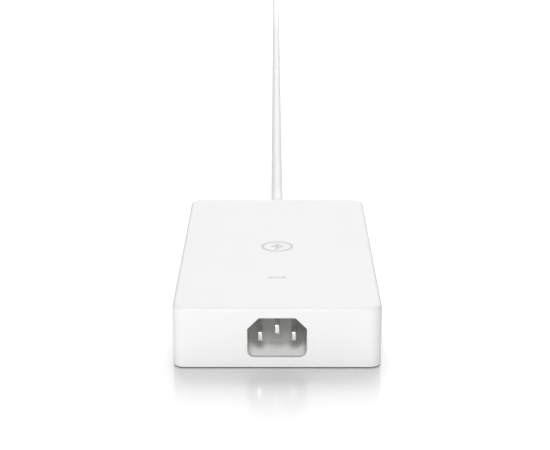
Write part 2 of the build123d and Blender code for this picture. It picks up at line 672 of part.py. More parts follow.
with BuildPart() as latch_blank:
    with BuildSketch(Plane.YZ.offset(-LATCH_W / 2)):
        with Locations((LATCH_ROOT, ROOT_Z)):
            Circle(LATCH_ROOT_R)
        with BuildLine():
            Polyline(
                (LATCH_ROOT, ROOT_Z - 0.1),
                (LATCH_ROOT, ROOT_Z + LATCH_ROOT_R),
                (LATCH_ROOT + 1.0, ROOT_Z + 1.15),
                (LATCH_ROOT + LATCH_L - 0.6, ROOT_Z + 1.15 + (LATCH_L - 1.6) * tan(radians(LATCH_TILT))),
                (LATCH_ROOT + LATCH_L, ROOT_Z + 0.7 + (LATCH_L - 1.6) * tan(radians(LATCH_TILT))),
                (LATCH_ROOT + LATCH_L - 0.4, ROOT_Z + 0.2 + (LATCH_L - 1.4) * tan(radians(LATCH_TILT))),
                (LATCH_ROOT + 0.6, ROOT_Z + 0.25),
                close=True,
            )
        make_face()
    extrude(amount=LATCH_W)
    # behind its shoulders the lever is narrower
    with BuildSketch(Plane.XY):
        for side in (-1, 1):
            with Locations((side * LATCH_W / 2, LATCH_ROOT + 8 + LATCH_L / 2)):
                Rectangle(2.4, LATCH_L, mode=Mode.ADD)
    extrude(amount=PLUG_H, mode=Mode.SUBTRACT)

with BuildPart() as boot_blank:
    with BuildSketch(Plane.XZ.offset(-PLUG_L)):
        RectangleRounded(PLUG_W - 0.4, PLUG_H - 0.2, 1.5)
    with BuildSketch(Plane.XZ.offset(-(PLUG_L + 7))):
        RectangleRounded(9.6, 7.2, 3.0)
    with BuildSketch(Plane.XZ.offset(-(PLUG_L + BOOT_L))):
        Circle(3.7)
    loft()

NEAR_PLACE = Location((0, PLUG_NOSE_Y, PLUG_Z))
BOOT_END_Y = PLUG_NOSE_Y + PLUG_L + BOOT_L
FAR_PLUG_X = COIL_X - 49.0
FAR_BOOT_Y = COIL_Y - 8.5
FAR_PLACE = Location((FAR_PLUG_X, FAR_BOOT_Y - BOOT_L - PLUG_L, FAR_PLUG_Z))
for end, place in (("near", NEAR_PLACE), ("far", FAR_PLACE)):
    for piece, blank in (
        ("body", plug_blank),
        ("contacts", blade_blank),
        ("latch", latch_blank),
        ("boot", boot_blank),
    ):
        with BuildPart(place) as plug_piece:
            add(blank.part)
        plug_piece.part.label = f"{end}_plug_{piece}"
        export_step(plug_piece.part, f"parts/{end}_plug_{piece}.step")

# ---------------------------------------------------------------- patch cord
# From the boot it sinks to the surface, runs straight back, and turns into the coil.
RUN_ROUTE = [
    (0.0, BOOT_END_Y, PLUG_Z),
    (0.0, BOOT_END_Y + 17.0, PLUG_Z),
    (-0.2, BOOT_END_Y + 52.0, CORD_FLOOR_Z),
    (-1.4, COIL_Y - 50.0, CORD_FLOOR_Z),
    (-3.0, COIL_Y - 15.0, CORD_FLOOR_Z),
]
# It climbs out over the coil's outer turn, and comes round to the far plug beside the coil.
TAIL_ROUTE = [
    (COIL_X + 32.5, COIL_Y + 5.7, CORD_FLOOR_Z),
    (COIL_X + 25.7, COIL_Y + 21.5, 6.0),
    (COIL_X + 11.3, COIL_Y + 34.7, 9.4),
    (COIL_X - 7.4, COIL_Y + 41.9, 9.4),
    (COIL_X - 27.9, COIL_Y + 37.1, 6.0),
    (COIL_X - 42.2, COIL_Y + 23.4, FAR_PLUG_Z),
    (FAR_PLUG_X, COIL_Y + 7.5, FAR_PLUG_Z),
    (FAR_PLUG_X, FAR_BOOT_Y, FAR_PLUG_Z),
]
for cord_name, route in (("cord_run", RUN_ROUTE), ("cord_tail", TAIL_ROUTE)):
    points = [Vector(*p) for p in route]
    runs = [b - a for a, b in zip(points, points[1:])]
    arc_radii = []
    for before, after in zip(runs, runs[1:]):
        half_turn = radians(before.get_angle(after)) / 2
        arc_radii.append(0.45 * min(before.length, after.length) / tan(half_turn))
    with BuildPart() as cord:
        with BuildLine() as cord_path:
            FilletPolyline(*route, radius=arc_radii)
        with BuildSketch(Plane(origin=route[0], z_dir=runs[0])):
            Circle(CORD_R)
        sweep(path=cord_path.wires()[0])
    path_length = sum(edge.length for edge in cord_path.edges())
    section = pi * CORD_R**2
    print(cord_name, "radii", [round(r, 1) for r in arc_radii], "length", round(path_length, 1))
    print(cord_name, "volume", round(cord.part.volume, 1), "expected", round(section * path_length, 1))
    cord.part.label = cord_name
    export_step(cord.part, f"parts/{cord_name}.step")

with BuildPart() as cord_coil:
    with BuildSketch(Plane.XY):
        with Locations((COIL_X, COIL_Y)):
            Circle(COIL_OUTER_R)
            Circle(COIL_INNER_R, mode=Mode.SUBTRACT)
    extrude(amount=COIL_H)
    fillet(cord_coil.edges(), 2.0)
cord_coil.part.label = "cord_coil"
export_step(cord_coil.part, "parts/cord_coil.step")
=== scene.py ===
import logging
import math
from dataclasses import dataclass
from enum import Enum
from typing import Callable

import bmesh
import bpy
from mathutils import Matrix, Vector


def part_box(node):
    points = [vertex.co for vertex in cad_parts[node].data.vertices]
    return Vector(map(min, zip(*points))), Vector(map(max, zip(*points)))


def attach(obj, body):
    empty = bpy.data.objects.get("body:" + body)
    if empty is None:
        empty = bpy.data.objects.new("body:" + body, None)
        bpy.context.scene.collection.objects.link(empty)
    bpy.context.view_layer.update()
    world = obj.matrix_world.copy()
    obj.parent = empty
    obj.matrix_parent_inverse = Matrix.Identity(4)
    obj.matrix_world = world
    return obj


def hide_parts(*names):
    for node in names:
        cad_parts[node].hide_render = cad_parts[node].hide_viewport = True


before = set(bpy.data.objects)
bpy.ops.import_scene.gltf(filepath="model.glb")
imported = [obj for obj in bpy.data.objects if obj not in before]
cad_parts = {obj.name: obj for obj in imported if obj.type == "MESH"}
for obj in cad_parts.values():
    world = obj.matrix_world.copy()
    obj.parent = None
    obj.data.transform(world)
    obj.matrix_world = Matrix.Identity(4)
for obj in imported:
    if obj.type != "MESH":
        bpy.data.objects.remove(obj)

log = logging.getLogger("poe_injector")
MM = 0.001
NEAR = 0.01 * MM  # a corner this close to a place counts as at it
SENSOR_WIDTH = 36.0
Point = tuple[float, float, float]
Colour = tuple[float, float, float]
Element = bmesh.types.BMVert | bmesh.types.BMEdge | bmesh.types.BMFace
Test = Callable[[Element], bool]
Thing = bpy.types.Object
Socket = bpy.types.NodeSocket


# ---- shader maths
class Val:
    """One number's socket in a shader, with the arithmetic that the finishes use."""

    def __init__(self, graph: "Graph", socket: Socket) -> None:
        """Wraps a socket of a graph."""
        self.graph = graph
        self.socket = socket

    def _with(self, operation: str, *others: "Val | float") -> "Val":
        """Adds a Math node that takes this value first."""
        return self.graph.math(operation, self, *others)

    def __add__(self, other: "Val | float") -> "Val":
        """This value plus another."""
        return self._with("ADD", other)

    def __radd__(self, other: float) -> "Val":
        """A number plus this value."""
        return self + other

    def __sub__(self, other: "Val | float") -> "Val":
        """This value minus another."""
        return self._with("SUBTRACT", other)

    def __rsub__(self, other: float) -> "Val":
        """A number minus this value."""
        return self.graph.math("SUBTRACT", other, self)

    def __mul__(self, other: "Val | float") -> "Val":
        """This value times another."""
        return self._with("MULTIPLY", other)

    def __rmul__(self, other: float) -> "Val":
        """A number times this value."""
        return self * other

    def __gt__(self, other: "Val | float") -> "Val":
        """1 where this value is greater, and 0 elsewhere."""
        return self._with("GREATER_THAN", other)

    def __lt__(self, other: "Val | float") -> "Val":
        """1 where this value is less, and 0 elsewhere."""
        return self._with("LESS_THAN", other)

    def __abs__(self) -> "Val":
        """The value's size without its sign."""
        return self._with("ABSOLUTE")

    def wave(self) -> "Val":
        """The sine of this value."""
        return self._with("SINE")

    def repeat(self, step: float) -> "Val":
        """Where this value is within a step that repeats, from 0 to 1."""
        return (self * (1 / step))._with("FRACT")

    def clipped(self) -> "Val":
        """The value held between 0 and 1."""
        return self._with("MINIMUM", 1.0)._with("MAXIMUM", 0.0)

    def ramp(self, low: float, high: float) -> "Val":
        """0 under low, 1 over high, and straight between."""
        return ((self - low) * (1 / (high - low))).clipped()


class Graph:
    """A material's node tree, built up by method calls."""

    def __init__(self, name: str) -> None:
        """Makes an empty material whose shader is a Principled BSDF.

        Args:
            name: the material's name.
        """
        self.material = bpy.data.materials.new(name)
        self.material.use_nodes = True
        self.tree = self.material.node_tree
        self.shader = self.tree.nodes["Principled BSDF"]

    def node(
        self, kind: str, settings: dict[str, object] | None = None, **inputs: object
    ) -> bpy.types.Node:
        """Adds a node, sets its settings, then its sockets.

        Args:
            kind: the node's type name.
            settings: attributes that are set before any socket is.
            inputs: values or links, by socket name with spaces as underscores.

        Returns:
            The new node.
        """
        made = self.tree.nodes.new(kind)
        for key, value in (settings or {}).items():
            setattr(made, key, value)
        for key, value in inputs.items():
            self.put(made, key.replace("_", " "), value)
        return made

    def put(self, node: bpy.types.Node, key: str | int, value: object) -> None:
        """Sets a socket to a number, a colour, a Val or another socket."""
        socket = node.inputs[key]
        if isinstance(value, Val):
            value = value.socket
        if isinstance(value, Socket):
            self.tree.links.new(value, socket)
        elif isinstance(value, tuple) and len(value) == 3 and socket.type == "RGBA":
            socket.default_value = (*value, 1.0)
        else:
            socket.default_value = value

    def set(self, **inputs: object) -> None:
        """Sets sockets of the Principled BSDF."""
        for key, value in inputs.items():
            self.put(self.shader, key.replace("_", " "), value)

    def math(self, operation: str, *values: Val | float) -> Val:
        """Adds a Math node.

        Args:
            operation: the Math node's operation.
            values: its operands in order.

        Returns:
            Its result.
        """
        made = self.node("ShaderNodeMath", {"operation": operation})
        for place, value in enumerate(values):
            self.put(made, place, value)
        return Val(self, made.outputs[0])

    def position(self) -> Socket:
        """The place on the piece, in metres."""
        return self.node("ShaderNodeTexCoord").outputs["Object"]

    def parts(self, vector: Socket) -> tuple[Val, Val, Val]:
        """A vector's three parts."""
        made = self.node("ShaderNodeSeparateXYZ", Vector=vector)
        return tuple(Val(self, made.outputs[i]) for i in range(3))

    def axes(self) -> tuple[Val, Val, Val]:
        """The place on the piece as three values, in metres."""
        return self.parts(self.position())

    def noise(self, size: float, detail: float = 2.0, stretch: Point = (1, 1, 1)) -> Val:
        """Smooth noise from 0 to 1.

        Args:
            size: the width of its blotches, in metres.
            detail: its octaves.
            stretch: how many times finer it is along each axis.

        Returns:
            The noise.
        """
        place = self.node("ShaderNodeMapping", Vector=self.position(), Scale=stretch)
        made = self.node(
            "ShaderNodeTexNoise",
            Vector=place.outputs[0],
            Scale=1 / size,
            Detail=detail,
            Roughness=0.55,
        )
        return Val(self, made.outputs[0])

    def blend(self, factor: Val | float, first: object, second: object) -> Socket:
        """Mixes two colours.

        Args:
            factor: 0 gives the first colour and 1 the second.
            first: a colour or a colour's socket.
            second: a colour or a colour's socket.

        Returns:
            The mixed colour's socket.
        """
        made = self.node("ShaderNodeMix", {"data_type": "RGBA"})
        self.put(made, 0, factor)
        self.put(made, 6, first)
        self.put(made, 7, second)
        return made.outputs[2]

    def bump(self, height: Val, depth: float) -> None:
        """Gives the surface a relief from 0 to 1, where 1 is so many metres deep."""
        made = self.node("ShaderNodeBump", Height=height, Strength=1.0, Distance=depth)
        self.set(Normal=made.outputs[0])


def shade(colour: Colour, times: float) -> Colour:
    """A colour made lighter or darker."""
    return tuple(min(1.0, c * times) for c in colour)


# ---- finishes
@dataclass(frozen=True)
class Surface:
    """What every finish has: a name, a base colour and a material."""

    name: str
    colour: Colour

    def make(self) -> bpy.types.Material:
        """Builds the material."""
        g = Graph(self.name)
        self.paint(g)
        return g.material

    def paint(self, g: Graph) -> None:
        """Sets the shader's sockets, in each finish's own way."""
        raise NotImplementedError

    def toned(self, g: Graph, factor: Val, times: float) -> Socket:
        """The colour, made lighter or darker where the factor is 1."""
        return g.blend(factor, self.colour, shade(self.colour, times))


@dataclass(frozen=True)
class Moulding(Surface):
    """Injection-moulded plastic: spark-eroded grain, faint flow marks and handling marks."""

    roughness: float = 0.42
    grain: float = 0.35 * MM
    depth: float = 0.006 * MM
    mottle: float = 0.015
    coat: float = 0.0

    def paint(self, g: Graph) -> None:
        """Sets the shader's sockets."""
        cloud = g.noise(28 * MM, 3)
        grain = g.noise(self.grain, 2)
        worn = g.noise(9 * MM, 4).ramp(0.45, 0.8)
        dark, light = (shade(self.colour, 1 + side * self.mottle) for side in (-1, 1))
        g.set(Base_Color=g.blend(cloud, dark, light))
        g.set(Roughness=self.roughness + 0.07 * (grain - 0.5) + 0.05 * worn)
        g.set(Coat_Weight=self.coat, Coat_Roughness=0.2)
        g.bump(grain, self.depth)


@dataclass(frozen=True)
class Metal(Surface):
    """Plated or rolled metal with fine drawing lines along one axis."""

    roughness: float = 0.25
    lines: Point = (1, 12, 1)
    depth: float = 0.002 * MM
    tarnish: float = 0.12

    def paint(self, g: Graph) -> None:
        """Sets the shader's sockets."""
        drawn = g.noise(0.5 * MM, 3, tuple(1 / s for s in self.lines))
        stain = g.noise(5 * MM, 4).ramp(0.4, 0.75)
        tint = self.toned(g, stain, 1 - self.tarnish)
        g.set(Base_Color=tint, Metallic=1.0)
        g.set(Roughness=self.roughness + 0.12 * (drawn - 0.5) + 0.1 * stain)
        g.bump(drawn, self.depth)


@dataclass(frozen=True)
class Ink(Surface):
    """Pad-printed ink: even, with slightly starved specks."""

    def paint(self, g: Graph) -> None:
        """Sets the shader's sockets."""
        specks = g.noise(0.25 * MM, 3).ramp(0.62, 0.78)
        g.set(Base_Color=self.toned(g, specks, 1.12))
        g.set(Roughness=0.5 + 0.1 * specks)


@dataclass(frozen=True)
class Rubber(Surface):
    """Matt rubber or soft vinyl with a dusty, fine surface."""

    roughness: float = 0.75

    def paint(self, g: Graph) -> None:
        """Sets the shader's sockets."""
        pores = g.noise(0.2 * MM, 3)
        dust = g.noise(4 * MM, 4).ramp(0.5, 0.8)
        g.set(Base_Color=self.toned(g, dust, 1.08))
        g.set(Roughness=self.roughness + 0.1 * (pores - 0.5))
        g.bump(pores, 0.02 * MM)


@dataclass(frozen=True)
class Jacket(Surface):
    """A cord's extruded jacket: a soft sheen, with faint waves from the pairs twisted inside."""

    lay: float = 14 * MM

    def paint(self, g: Graph) -> None:
        """Sets the shader's sockets."""
        x, y, _ = g.axes()
        waves = ((x + y) * (2 * math.pi / self.lay)).wave() * 0.5 + 0.5
        scuffs = g.noise(3 * MM, 4).ramp(0.5, 0.85)
        skin = g.noise(0.3 * MM, 2)
        g.set(Base_Color=self.toned(g, scuffs, 0.975))
        g.set(Roughness=0.36 + 0.1 * scuffs + 0.04 * (skin - 0.5))
        g.bump(waves * 0.7 + skin * 0.3, 0.02 * MM)


@dataclass(frozen=True)
class ClearPlastic(Surface):
    """Clear polycarbonate, as thin walls that light passes through."""

    colour: Colour = (0.93, 0.95, 0.96)

    def paint(self, g: Graph) -> None:
        """Sets the shader's sockets."""
        flow = g.noise(2 * MM, 3)
        g.set(Base_Color=self.toned(g, flow, 0.96))
        g.set(Roughness=0.06 + 0.06 * flow, Transmission_Weight=0.85, IOR=1.58)
        g.bump(flow, 0.01 * MM)


@dataclass(frozen=True)
class CoreSheath(Surface):
    """Thin insulation of one core, plain or banded with its pair's colour."""

    banded: bool = False

    def paint(self, g: Graph) -> None:
        """Sets the shader's sockets."""
        x, y, _ = g.axes()
        skin = g.noise(0.5 * MM, 2)
        white = (0.8, 0.79, 0.76)
        if self.banded:
            colour = g.blend((x + y).repeat(3 * MM) < 0.4, white, self.colour)
        else:
            colour = self.toned(g, skin, 1.15)
        g.set(Base_Color=colour, Roughness=0.34 + 0.1 * skin)
        g.bump(skin, 0.008 * MM)


@dataclass(frozen=True)
class WoundWire(Surface):
    """Enamelled wire, or tape, wound in turns side by side, with painted shade in the grooves
    between turns.
    """

    turn: float = 0.9 * MM
    roughness: float = 0.3
    along: int = 0

    def paint(self, g: Graph) -> None:
        """Sets the shader's sockets."""
        turns = abs(g.axes()[self.along].repeat(self.turn) - 0.5) * 2
        tone = g.noise(1.5 * MM, 3)
        # painted shade: the colour darkens to 0.45 towards the groove between each turn and the
        # next
        dark = self.toned(g, turns.ramp(0.6, 1.0), 0.45)
        g.set(Base_Color=g.blend(tone * 0.4, dark, shade(self.colour, 0.7)))
        g.set(Roughness=self.roughness + 0.15 * (tone - 0.5))
        g.bump(1 - turns, 0.2 * MM)


@dataclass(frozen=True)
class CircuitBoard(Surface):
    """Green solder mask over copper tracks, with lighter lines where tracks run."""

    def paint(self, g: Graph) -> None:
        """Sets the shader's sockets."""
        x, y, _ = g.axes()
        wander = g.noise(9 * MM, 1) * 6 * MM
        tracks = ((x + wander).repeat(1.6 * MM) < 0.3) * (g.noise(14 * MM, 0) > 0.5)
        pads = ((y + wander).repeat(2.4 * MM) < 0.25) * (g.noise(11 * MM, 0) > 0.55)
        copper = (tracks + pads).clipped()
        g.set(Base_Color=self.toned(g, copper, 1.7))
        g.set(Roughness=0.35 + 0.1 * g.noise(1 * MM, 2), Coat_Weight=0.3, Coat_Roughness=0.15)
        g.bump(copper, 0.03 * MM)


@dataclass(frozen=True)
class Sleeve(Surface):
    """Printed shrink sleeve of a capacitor: dark, with a pale stripe for the minus side."""

    stripe: Colour = (0.62, 0.6, 0.52)

    def paint(self, g: Graph) -> None:
        """Sets the shader's sockets."""
        x, _, z = g.axes()
        band = (x + z * 0.6).repeat(16.5 * MM) < 0.14
        wrinkle = g.noise(0.8 * MM, 2)
        g.set(Base_Color=g.blend(band, self.colour, self.stripe))
        g.set(Roughness=0.28 + 0.1 * wrinkle)
        g.bump(wrinkle, 0.02 * MM)


@dataclass(frozen=True)
class Fired(Surface):
    """Fired ceramic or ferrite: matt and faintly pitted."""

    roughness: float = 0.6

    def paint(self, g: Graph) -> None:
        """Sets the shader's sockets."""
        pits = g.noise(0.4 * MM, 4)
        cloud = g.noise(6 * MM, 3)
        g.set(Base_Color=self.toned(g, cloud, 1.25))
        g.set(Roughness=self.roughness + 0.15 * (pits - 0.5))
        g.bump(pits.ramp(0.2, 0.5), 0.03 * MM)


class Finish(Enum):
    """Every finish on the object."""

    CASE = Moulding("case_white", (0.86, 0.86, 0.865), 0.4)
    # partly the moulding's own grey, partly painted shade: set dark so that the cavity's walls come
    # out as dark as their shade
    INLET = Moulding("inlet_moulding", (0.47, 0.47, 0.465), 0.45, depth=0.004 * MM)
    PLATED_PIN = Metal("plated_pin", (0.93, 0.93, 0.92), 0.16)
    SCREW = Metal("screw_zinc", (0.62, 0.62, 0.6), 0.34, (1, 1, 1))
    FOOT = Rubber("foot_rubber", (0.55, 0.55, 0.55))
    PRINT = Ink("print_grey", (0.63, 0.63, 0.64))
    FUSE = Fired("fuse_ceramic", (0.82, 0.78, 0.68))
    DIPPED = Moulding("dipped_epoxy", (0.05, 0.16, 0.5), 0.25, 0.8 * MM, 0.02 * MM, 0.06, 0.4)
    FERRITE = Fired("ferrite", (0.07, 0.07, 0.075), 0.55)
    COPPER = WoundWire("enamelled_copper", (0.62, 0.26, 0.1))
    BOX_CAPACITOR = Moulding("film_capacitor_box", (0.75, 0.6, 0.1), 0.4, mottle=0.04)
    SLEEVE = Sleeve("capacitor_sleeve", (0.03, 0.035, 0.05))
    CHIP = Moulding("chip_epoxy", (0.03, 0.03, 0.032), 0.55, 0.15 * MM, 0.004 * MM, 0.1)
    ALUMINIUM = Metal("rolled_aluminium", (0.78, 0.79, 0.8), 0.38, (1, 20, 1), 0.004 * MM)
    TAPE = WoundWire("winding_tape", (0.8, 0.6, 0.08), 3.1 * MM, 0.22)
    BOBBIN = Moulding("bobbin_nylon", (0.05, 0.05, 0.05), 0.5)
    BOARD = CircuitBoard("solder_mask", (0.02, 0.14, 0.06))
    FILM = Moulding("insulation_film", (0.75, 0.75, 0.7), 0.22, 2 * MM, 0.01 * MM, 0.03)
    JACK = Moulding("jack_nylon", (0.035, 0.035, 0.038), 0.5, mottle=0.06)
    SHIELD = Metal("jack_tin_plate", (0.78, 0.78, 0.76), 0.3, (1, 1, 14))
    GOLD = Metal("gold_flash", (0.95, 0.71, 0.3), 0.2)
    CLEAR = ClearPlastic("plug_clear")
    CORD = Jacket("cord_jacket", (0.86, 0.86, 0.86))
    BOOT = Moulding("boot_vinyl", (0.85, 0.85, 0.85), 0.45, 0.25 * MM, 0.006 * MM)
    ORANGE = CoreSheath("core_orange", (0.75, 0.22, 0.03))
    ORANGE_BAND = CoreSheath("core_white_orange", (0.75, 0.22, 0.03), True)
    GREEN = CoreSheath("core_green", (0.03, 0.3, 0.08))
    GREEN_BAND = CoreSheath("core_white_green", (0.03, 0.3, 0.08), True)
    BLUE = CoreSheath("core_blue", (0.03, 0.1, 0.5))
    BLUE_BAND = CoreSheath("core_white_blue", (0.03, 0.1, 0.5), True)
    BROWN = CoreSheath("core_brown", (0.18, 0.07, 0.03))
    BROWN_BAND = CoreSheath("core_white_brown", (0.18, 0.07, 0.03), True)


# across a plug, from its -X side
CORE_ORDER = (
    Finish.ORANGE_BAND,
    Finish.ORANGE,
    Finish.GREEN_BAND,
    Finish.BLUE,
    Finish.BLUE_BAND,
    Finish.GREEN,
    Finish.BROWN_BAND,
    Finish.BROWN,
)

NODE_FINISHES: dict[Finish, tuple[str, ...]] = {
    Finish.CASE: ("top_cover", "base_cover"),
    Finish.SCREW: ("case_screws", "board_screws"),
    Finish.PRINT: ("top_emblem", "output_mark"),
    Finish.FUSE: ("fuse",),
    Finish.DIPPED: ("varistor", "y_capacitors"),
    Finish.FERRITE: ("choke_core", "boost_choke_core", "transformer_core"),
    Finish.COPPER: ("choke_windings", "boost_choke_winding", "output_choke"),
    Finish.BOX_CAPACITOR: ("x_capacitor",),
    Finish.SLEEVE: ("bulk_capacitors", "output_capacitors"),
    Finish.CHIP: (
        "bridge_rectifier",
        "primary_switches",
        "control_chip",
        "optocouplers",
        "output_rectifiers",
        "poe_controller",
        "line_transformers",
        "surge_suppressors",
    ),
    Finish.ALUMINIUM: ("primary_heatsink", "secondary_heatsink", "heat_spreader"),
    Finish.TAPE: ("transformer_winding",),
    Finish.BOBBIN: ("transformer_bobbin",),
    Finish.BOARD: ("main_board",),
    Finish.FILM: ("insulation_sheet",),
    Finish.JACK: ("poe_jack_housing", "data_jack_housing"),
    Finish.GOLD: ("poe_jack_contacts",),
}


class Paintbox:
    """Makes each finish's material once, and dresses objects in it."""

    def __init__(self) -> None:
        """Starts with no material made."""
        self.made: dict[Finish, bpy.types.Material] = {}

    def material(self, finish: Finish) -> bpy.types.Material:
        """The finish's material."""
        if finish not in self.made:
            self.made[finish] = finish.value.make()
        return self.made[finish]

    def dress(self, thing: Thing, finish: Finish) -> None:
        """Gives an object one material all over."""
        if not thing.material_slots:
            thing.data.materials.append(None)
        for slot in thing.material_slots:
            slot.material = self.material(finish)

    def dress_nodes(self) -> None:
        """Dresses every CAD node that stays."""
        for finish, names in NODE_FINISHES.items():
            for name in names:
                self.dress(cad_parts[name], finish)


# ---- modelling bench
class Kind(Enum):
    """What an edit works on."""

    CORNERS = "VERT"
    EDGES = "EDGE"
    FACES = "FACE"


class Along(Enum):
    """The direction a rod runs in, as its turn about each axis."""

    X = (0.0, math.pi / 2, 0.0)
    Y = (-math.pi / 2, 0.0, 0.0)
    Z = (0.0, 0.0, 0.0)


class Workpiece:
    """A primitive that is shaped in edit mode: parts are picked by their place, then worked."""

    def __init__(self, name: str, thing: Thing) -> None:
        """Takes a fresh primitive and puts its place into its mesh.

        Args:
            name: the piece's name.
            thing: the primitive's object.
        """
        thing.name = name
        thing.data.name = name
        self.thing = thing
        bpy.ops.object.transform_apply(location=True, rotation=True, scale=True)

    @classmethod
    def block(cls, name: str, low: Point, high: Point) -> "Workpiece":
        """Starts from a block between two corners."""
        bpy.ops.object.select_all(action="DESELECT")
        middle = tuple((a + b) / 2 for a, b in zip(low, high))
        size = tuple(b - a for a, b in zip(low, high))
        bpy.ops.mesh.primitive_cube_add(size=1.0, location=middle, scale=size)
        return cls(name, bpy.context.object)

    @classmethod
    def rod(
        cls, name: str, middle: Point, radius: float, length: float, along: Along, sides: int
    ) -> "Workpiece":
        """Starts from a rod about its middle."""
        bpy.ops.object.select_all(action="DESELECT")
        bpy.ops.mesh.primitive_cylinder_add(
            vertices=sides, radius=radius, depth=length, location=middle, rotation=along.value
        )
        return cls(name, bpy.context.object)

    def pick(self, kind: Kind, test: Test) -> None:
        """Selects only the parts that pass a test.

        Args:
            kind: corners, edges or faces.
            test: says whether a corner, an edge or a face is wanted.
        """
        bpy.context.view_layer.objects.active = self.thing
        bpy.ops.object.mode_set(mode="EDIT")
        bpy.ops.mesh.select_mode(type=kind.value)
        bpy.ops.mesh.select_all(action="DESELECT")
        mesh = bmesh.from_edit_mesh(self.thing.data)
        parts = {Kind.CORNERS: mesh.verts, Kind.EDGES: mesh.edges, Kind.FACES: mesh.faces}[kind]
        for part in [p for p in parts if test(p)]:
            part.select_set(True)
        bmesh.update_edit_mesh(self.thing.data)

    def cut(self, axis: int, *places: float) -> None:
        """Divides the whole piece at places along an axis."""
        for place in places:
            self.pick(Kind.FACES, lambda face: True)
            point = tuple(place if i == axis else 0.0 for i in range(3))
            normal = tuple(1.0 if i == axis else 0.0 for i in range(3))
            bpy.ops.mesh.bisect(plane_co=point, plane_no=normal)

    def extrude(self, move: Point) -> None:
        """Pulls the picked faces out, with new walls behind them."""
        bpy.ops.mesh.extrude_region_move(TRANSFORM_OT_translate={"value": move})

    def inset(self, by: float) -> None:
        """Draws the picked faces' borders in."""
        bpy.ops.mesh.inset(thickness=by)

    def bevel(self, width: float, steps: int = 3) -> None:
        """Rounds the picked edges, or chamfers them in one step."""
        bpy.ops.mesh.bevel(offset=width, segments=steps, affect="EDGES")

    def shift(self, move: Point) -> None:
        """Moves what is picked."""
        bpy.ops.transform.translate(value=move)

    def resize(self, factors: Point, centre: Point) -> None:
        """Scales what is picked about a point."""
        bpy.ops.transform.resize(value=factors, center_override=centre)

    def drop(self) -> None:
        """Deletes the picked faces."""
        bpy.ops.mesh.delete(type="FACE")

    def modify(self, kind: str, **settings: object) -> None:
        """Adds a modifier and applies it.

        Args:
            kind: the modifier's type.
            settings: its settings.
        """
        self.select()
        bpy.ops.object.modifier_add(type=kind)
        modifier = self.thing.modifiers[-1]
        for key, value in settings.items():
            setattr(modifier, key, value)
        bpy.ops.object.modifier_apply(modifier=modifier.name)

    def soften(self, width: float, steps: int = 2) -> None:
        """Eases every sharp edge."""
        turn = math.radians(40)
        self.modify(
            "BEVEL", width=width, segments=steps, limit_method="ANGLE", angle_limit=turn
        )

    def repeat(self, count: int, step: Point) -> None:
        """Repeats the piece in a row."""
        self.modify(
            "ARRAY",
            count=count,
            use_relative_offset=False,
            use_constant_offset=True,
            constant_offset_displace=step,
        )

    def select(self) -> None:
        """Leaves edit mode with only this piece selected."""
        bpy.context.view_layer.objects.active = self.thing
        bpy.ops.object.mode_set(mode="OBJECT")
        bpy.ops.object.select_all(action="DESELECT")
        self.thing.select_set(True)

    def place(self, point: Point) -> None:
        """Moves the piece from the origin to a point."""
        self.select()
        bpy.ops.transform.translate(value=point)
        bpy.ops.object.transform_apply(location=True, rotation=True, scale=True)

    def join(self, *others: "Workpiece") -> None:
        """Joins other pieces into this one."""
        self.select()
        for other in others:
            other.thing.select_set(True)
        bpy.context.view_layer.objects.active = self.thing
        bpy.ops.object.join()

    def finish(self, sharp: float = 35.0) -> Thing:
        """Merges doubles, faces everything outwards and smooths the gentle edges.

        Args:
            sharp: edges that turn more than this many degrees stay sharp.

        Returns:
            The finished piece.
        """
        self.pick(Kind.FACES, lambda face: True)
        bpy.ops.mesh.remove_doubles(threshold=0.001 * MM)
        bpy.ops.mesh.normals_make_consistent(inside=False)
        self.select()
        bpy.ops.object.shade_smooth_by_angle(angle=math.radians(sharp))
        return self.thing


def facing(axis: int, sign: int) -> Test:
    """A test for faces that look along an axis."""
    return lambda face: face.normal[axis] * sign > 0.9


def running(axis: int) -> Test:
    """A test for edges that run along an axis."""
    return lambda edge: abs((edge.verts[1].co - edge.verts[0].co).normalized()[axis]) > 0.95


def at(axis: int, place: float) -> Test:
    """A test for corners at a place along an axis."""
    return lambda corner: abs(corner.co[axis] - place) < NEAR


def ends_at(axis: int, place: float) -> Test:
    """A test for edges with both ends at a place along an axis."""
    there = at(axis, place)
    return lambda edge: all(there(corner) for corner in edge.verts)


def centre_of(edge: Element) -> Vector:
    """The middle of an edge."""
    return (edge.verts[0].co + edge.verts[1].co) / 2


def stand(name: str, data: bpy.types.ID) -> Thing:
    """Makes an object of its data, and adds it to the scene."""
    thing = bpy.data.objects.new(name, data)
    bpy.context.collection.objects.link(thing)
    return thing


def hand_over(
    thing: Thing, paint: Paintbox, finish: Finish, body: str, slot: str, *nodes: str
) -> None:
    """Dresses a finished piece, rides it on its body and logs it.

    Args:
        thing: the finished piece.
        paint: gives its material.
        finish: its finish.
        body: the CAD body that carries it.
        slot: the record's material slot; not used.
        nodes: the CAD nodes that it stands for, if any.
    """
    paint.dress(thing, finish)
    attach(thing, body)
    if nodes:
        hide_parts(*nodes)
    log.info("%s: %d faces on %s", thing.name, len(thing.data.polygons), body)


